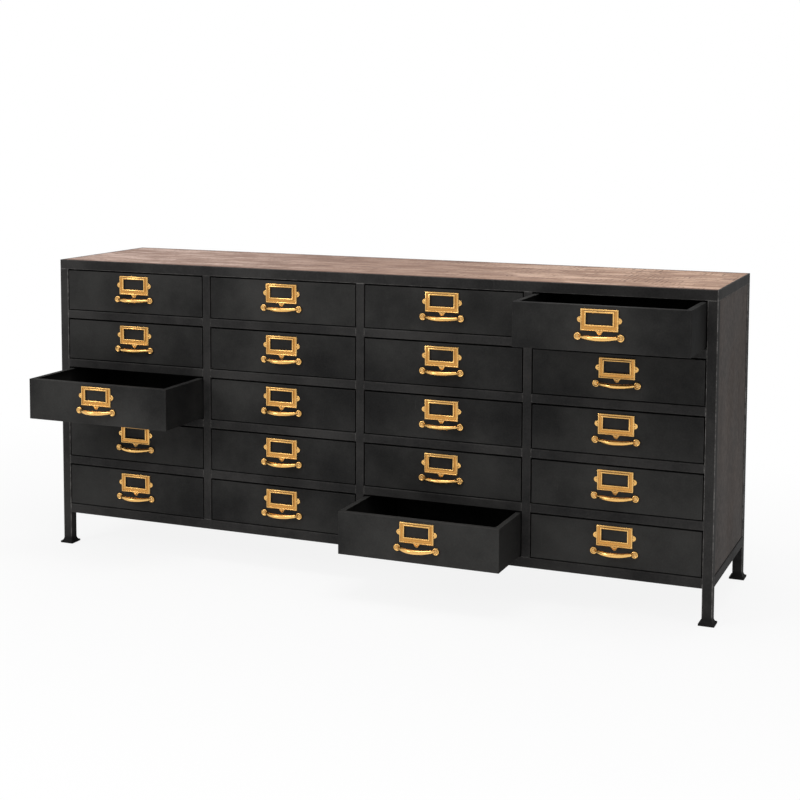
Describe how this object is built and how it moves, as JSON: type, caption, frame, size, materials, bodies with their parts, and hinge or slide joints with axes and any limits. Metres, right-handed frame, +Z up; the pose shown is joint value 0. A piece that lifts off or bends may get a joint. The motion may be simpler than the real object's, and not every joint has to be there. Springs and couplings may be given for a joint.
{
  "type": "steel chest of drawers",
  "caption": "Wide floor-standing steel chest of small sliding drawers with brass label holders and bow pulls, on short legs with flared feet, under a sawn board top.",
  "frame": {"origin": "on the floor, midway between the four posts", "axes": "+X to the right of someone facing the drawers, +Y to the back, +Z up"},
  "size_m": [1.816, 0.6424, 0.79],
  "materials": {
    "frame_paint": "satin black paint, rubbed at the edges",
    "drawer_paint": "satin black paint over folded sheet",
    "panel_patina": "mottled brown-grey patina under lacquer",
    "boards": "weathered sawn planks, dry and matt",
    "brass": "aged brass, polished where hands touch it",
    "screws": "zinc plated"
  },
  "bodies": {
    "carcass": {"post_front_left": "frame_paint", "post_front_right": "frame_paint", "post_back_left": "frame_paint", "post_back_right": "frame_paint", "foot_plates": "frame_paint", "top_frame": "frame_paint", "top_boards": "boards", "top_cross_bars": "frame_paint", "board_screws": "screws", "front_uprights": "frame_paint", "drawer_rails": "frame_paint", "bottom_rail_front": "frame_paint", "bottom_rail_back": "frame_paint", "bottom_rails_side": "frame_paint", "side_panel_left": "panel_patina", "side_panel_right": "panel_patina", "back_panel": "panel_patina", "bottom_panel": "panel_patina", "back_uprights": "frame_paint", "drawer_runners": "frame_paint"},
    "drawer_r1c1": {"drawer_r1c1": "drawer_paint", "pull_r1c1": "brass"},
    "drawer_r1c2": {"drawer_r1c2": "drawer_paint", "pull_r1c2": "brass"},
    "drawer_r1c3": {"drawer_r1c3": "drawer_paint", "pull_r1c3": "brass"},
    "drawer_r1c4": {"drawer_r1c4": "drawer_paint", "pull_r1c4": "brass"},
    "drawer_r2c1": {"drawer_r2c1": "drawer_paint", "pull_r2c1": "brass"},
    "drawer_r2c2": {"drawer_r2c2": "drawer_paint", "pull_r2c2": "brass"},
    "drawer_r2c3": {"drawer_r2c3": "drawer_paint", "pull_r2c3": "brass"},
    "drawer_r2c4": {"drawer_r2c4": "drawer_paint", "pull_r2c4": "brass"},
    "drawer_r3c1": {"drawer_r3c1": "drawer_paint", "pull_r3c1": "brass"},
    "drawer_r3c2": {"drawer_r3c2": "drawer_paint", "pull_r3c2": "brass"},
    "drawer_r3c3": {"drawer_r3c3": "drawer_paint", "pull_r3c3": "brass"},
    "drawer_r3c4": {"drawer_r3c4": "drawer_paint", "pull_r3c4": "brass"},
    "drawer_r4c1": {"drawer_r4c1": "drawer_paint", "pull_r4c1": "brass"},
    "drawer_r4c2": {"drawer_r4c2": "drawer_paint", "pull_r4c2": "brass"},
    "drawer_r4c3": {"drawer_r4c3": "drawer_paint", "pull_r4c3": "brass"},
    "drawer_r4c4": {"drawer_r4c4": "drawer_paint", "pull_r4c4": "brass"},
    "drawer_r5c1": {"drawer_r5c1": "drawer_paint", "pull_r5c1": "brass"},
    "drawer_r5c2": {"drawer_r5c2": "drawer_paint", "pull_r5c2": "brass"},
    "drawer_r5c3": {"drawer_r5c3": "drawer_paint", "pull_r5c3": "brass"},
    "drawer_r5c4": {"drawer_r5c4": "drawer_paint", "pull_r5c4": "brass"}
  },
  "joints": [
    {"name": "slide_r1c1", "type": "slide", "parent": "carcass", "child": "drawer_r1c1", "axis": [0, -1, 0], "range_m": [0, 0.3]},
    {"name": "slide_r1c2", "type": "slide", "parent": "carcass", "child": "drawer_r1c2", "axis": [0, -1, 0], "range_m": [0, 0.3]},
    {"name": "slide_r1c3", "type": "slide", "parent": "carcass", "child": "drawer_r1c3", "axis": [0, -1, 0], "range_m": [0, 0.3]},
    {"name": "slide_r1c4", "type": "slide", "parent": "carcass", "child": "drawer_r1c4", "axis": [0, -1, 0], "range_m": [-0.165, 0.135]},
    {"name": "slide_r2c1", "type": "slide", "parent": "carcass", "child": "drawer_r2c1", "axis": [0, -1, 0], "range_m": [0, 0.3]},
    {"name": "slide_r2c2", "type": "slide", "parent": "carcass", "child": "drawer_r2c2", "axis": [0, -1, 0], "range_m": [0, 0.3]},
    {"name": "slide_r2c3", "type": "slide", "parent": "carcass", "child": "drawer_r2c3", "axis": [0, -1, 0], "range_m": [0, 0.3]},
    {"name": "slide_r2c4", "type": "slide", "parent": "carcass", "child": "drawer_r2c4", "axis": [0, -1, 0], "range_m": [0, 0.3]},
    {"name": "slide_r3c1", "type": "slide", "parent": "carcass", "child": "drawer_r3c1", "axis": [0, -1, 0], "range_m": [-0.186, 0.114]},
    {"name": "slide_r3c2", "type": "slide", "parent": "carcass", "child": "drawer_r3c2", "axis": [0, -1, 0], "range_m": [0, 0.3]},
    {"name": "slide_r3c3", "type": "slide", "parent": "carcass", "child": "drawer_r3c3", "axis": [0, -1, 0], "range_m": [0, 0.3]},
    {"name": "slide_r3c4", "type": "slide", "parent": "carcass", "child": "drawer_r3c4", "axis": [0, -1, 0], "range_m": [0, 0.3]},
    {"name": "slide_r4c1", "type": "slide", "parent": "carcass", "child": "drawer_r4c1", "axis": [0, -1, 0], "range_m": [0, 0.3]},
    {"name": "slide_r4c2", "type": "slide", "parent": "carcass", "child": "drawer_r4c2", "axis": [0, -1, 0], "range_m": [0, 0.3]},
    {"name": "slide_r4c3", "type": "slide", "parent": "carcass", "child": "drawer_r4c3", "axis": [0, -1, 0], "range_m": [0, 0.3]},
    {"name": "slide_r4c4", "type": "slide", "parent": "carcass", "child": "drawer_r4c4", "axis": [0, -1, 0], "range_m": [0, 0.3]},
    {"name": "slide_r5c1", "type": "slide", "parent": "carcass", "child": "drawer_r5c1", "axis": [0, -1, 0], "range_m": [0, 0.3]},
    {"name": "slide_r5c2", "type": "slide", "parent": "carcass", "child": "drawer_r5c2", "axis": [0, -1, 0], "range_m": [0, 0.3]},
    {"name": "slide_r5c3", "type": "slide", "parent": "carcass", "child": "drawer_r5c3", "axis": [0, -1, 0], "range_m": [-0.162, 0.138]},
    {"name": "slide_r5c4", "type": "slide", "parent": "carcass", "child": "drawer_r5c4", "axis": [0, -1, 0], "range_m": [0, 0.3]}
  ]
}
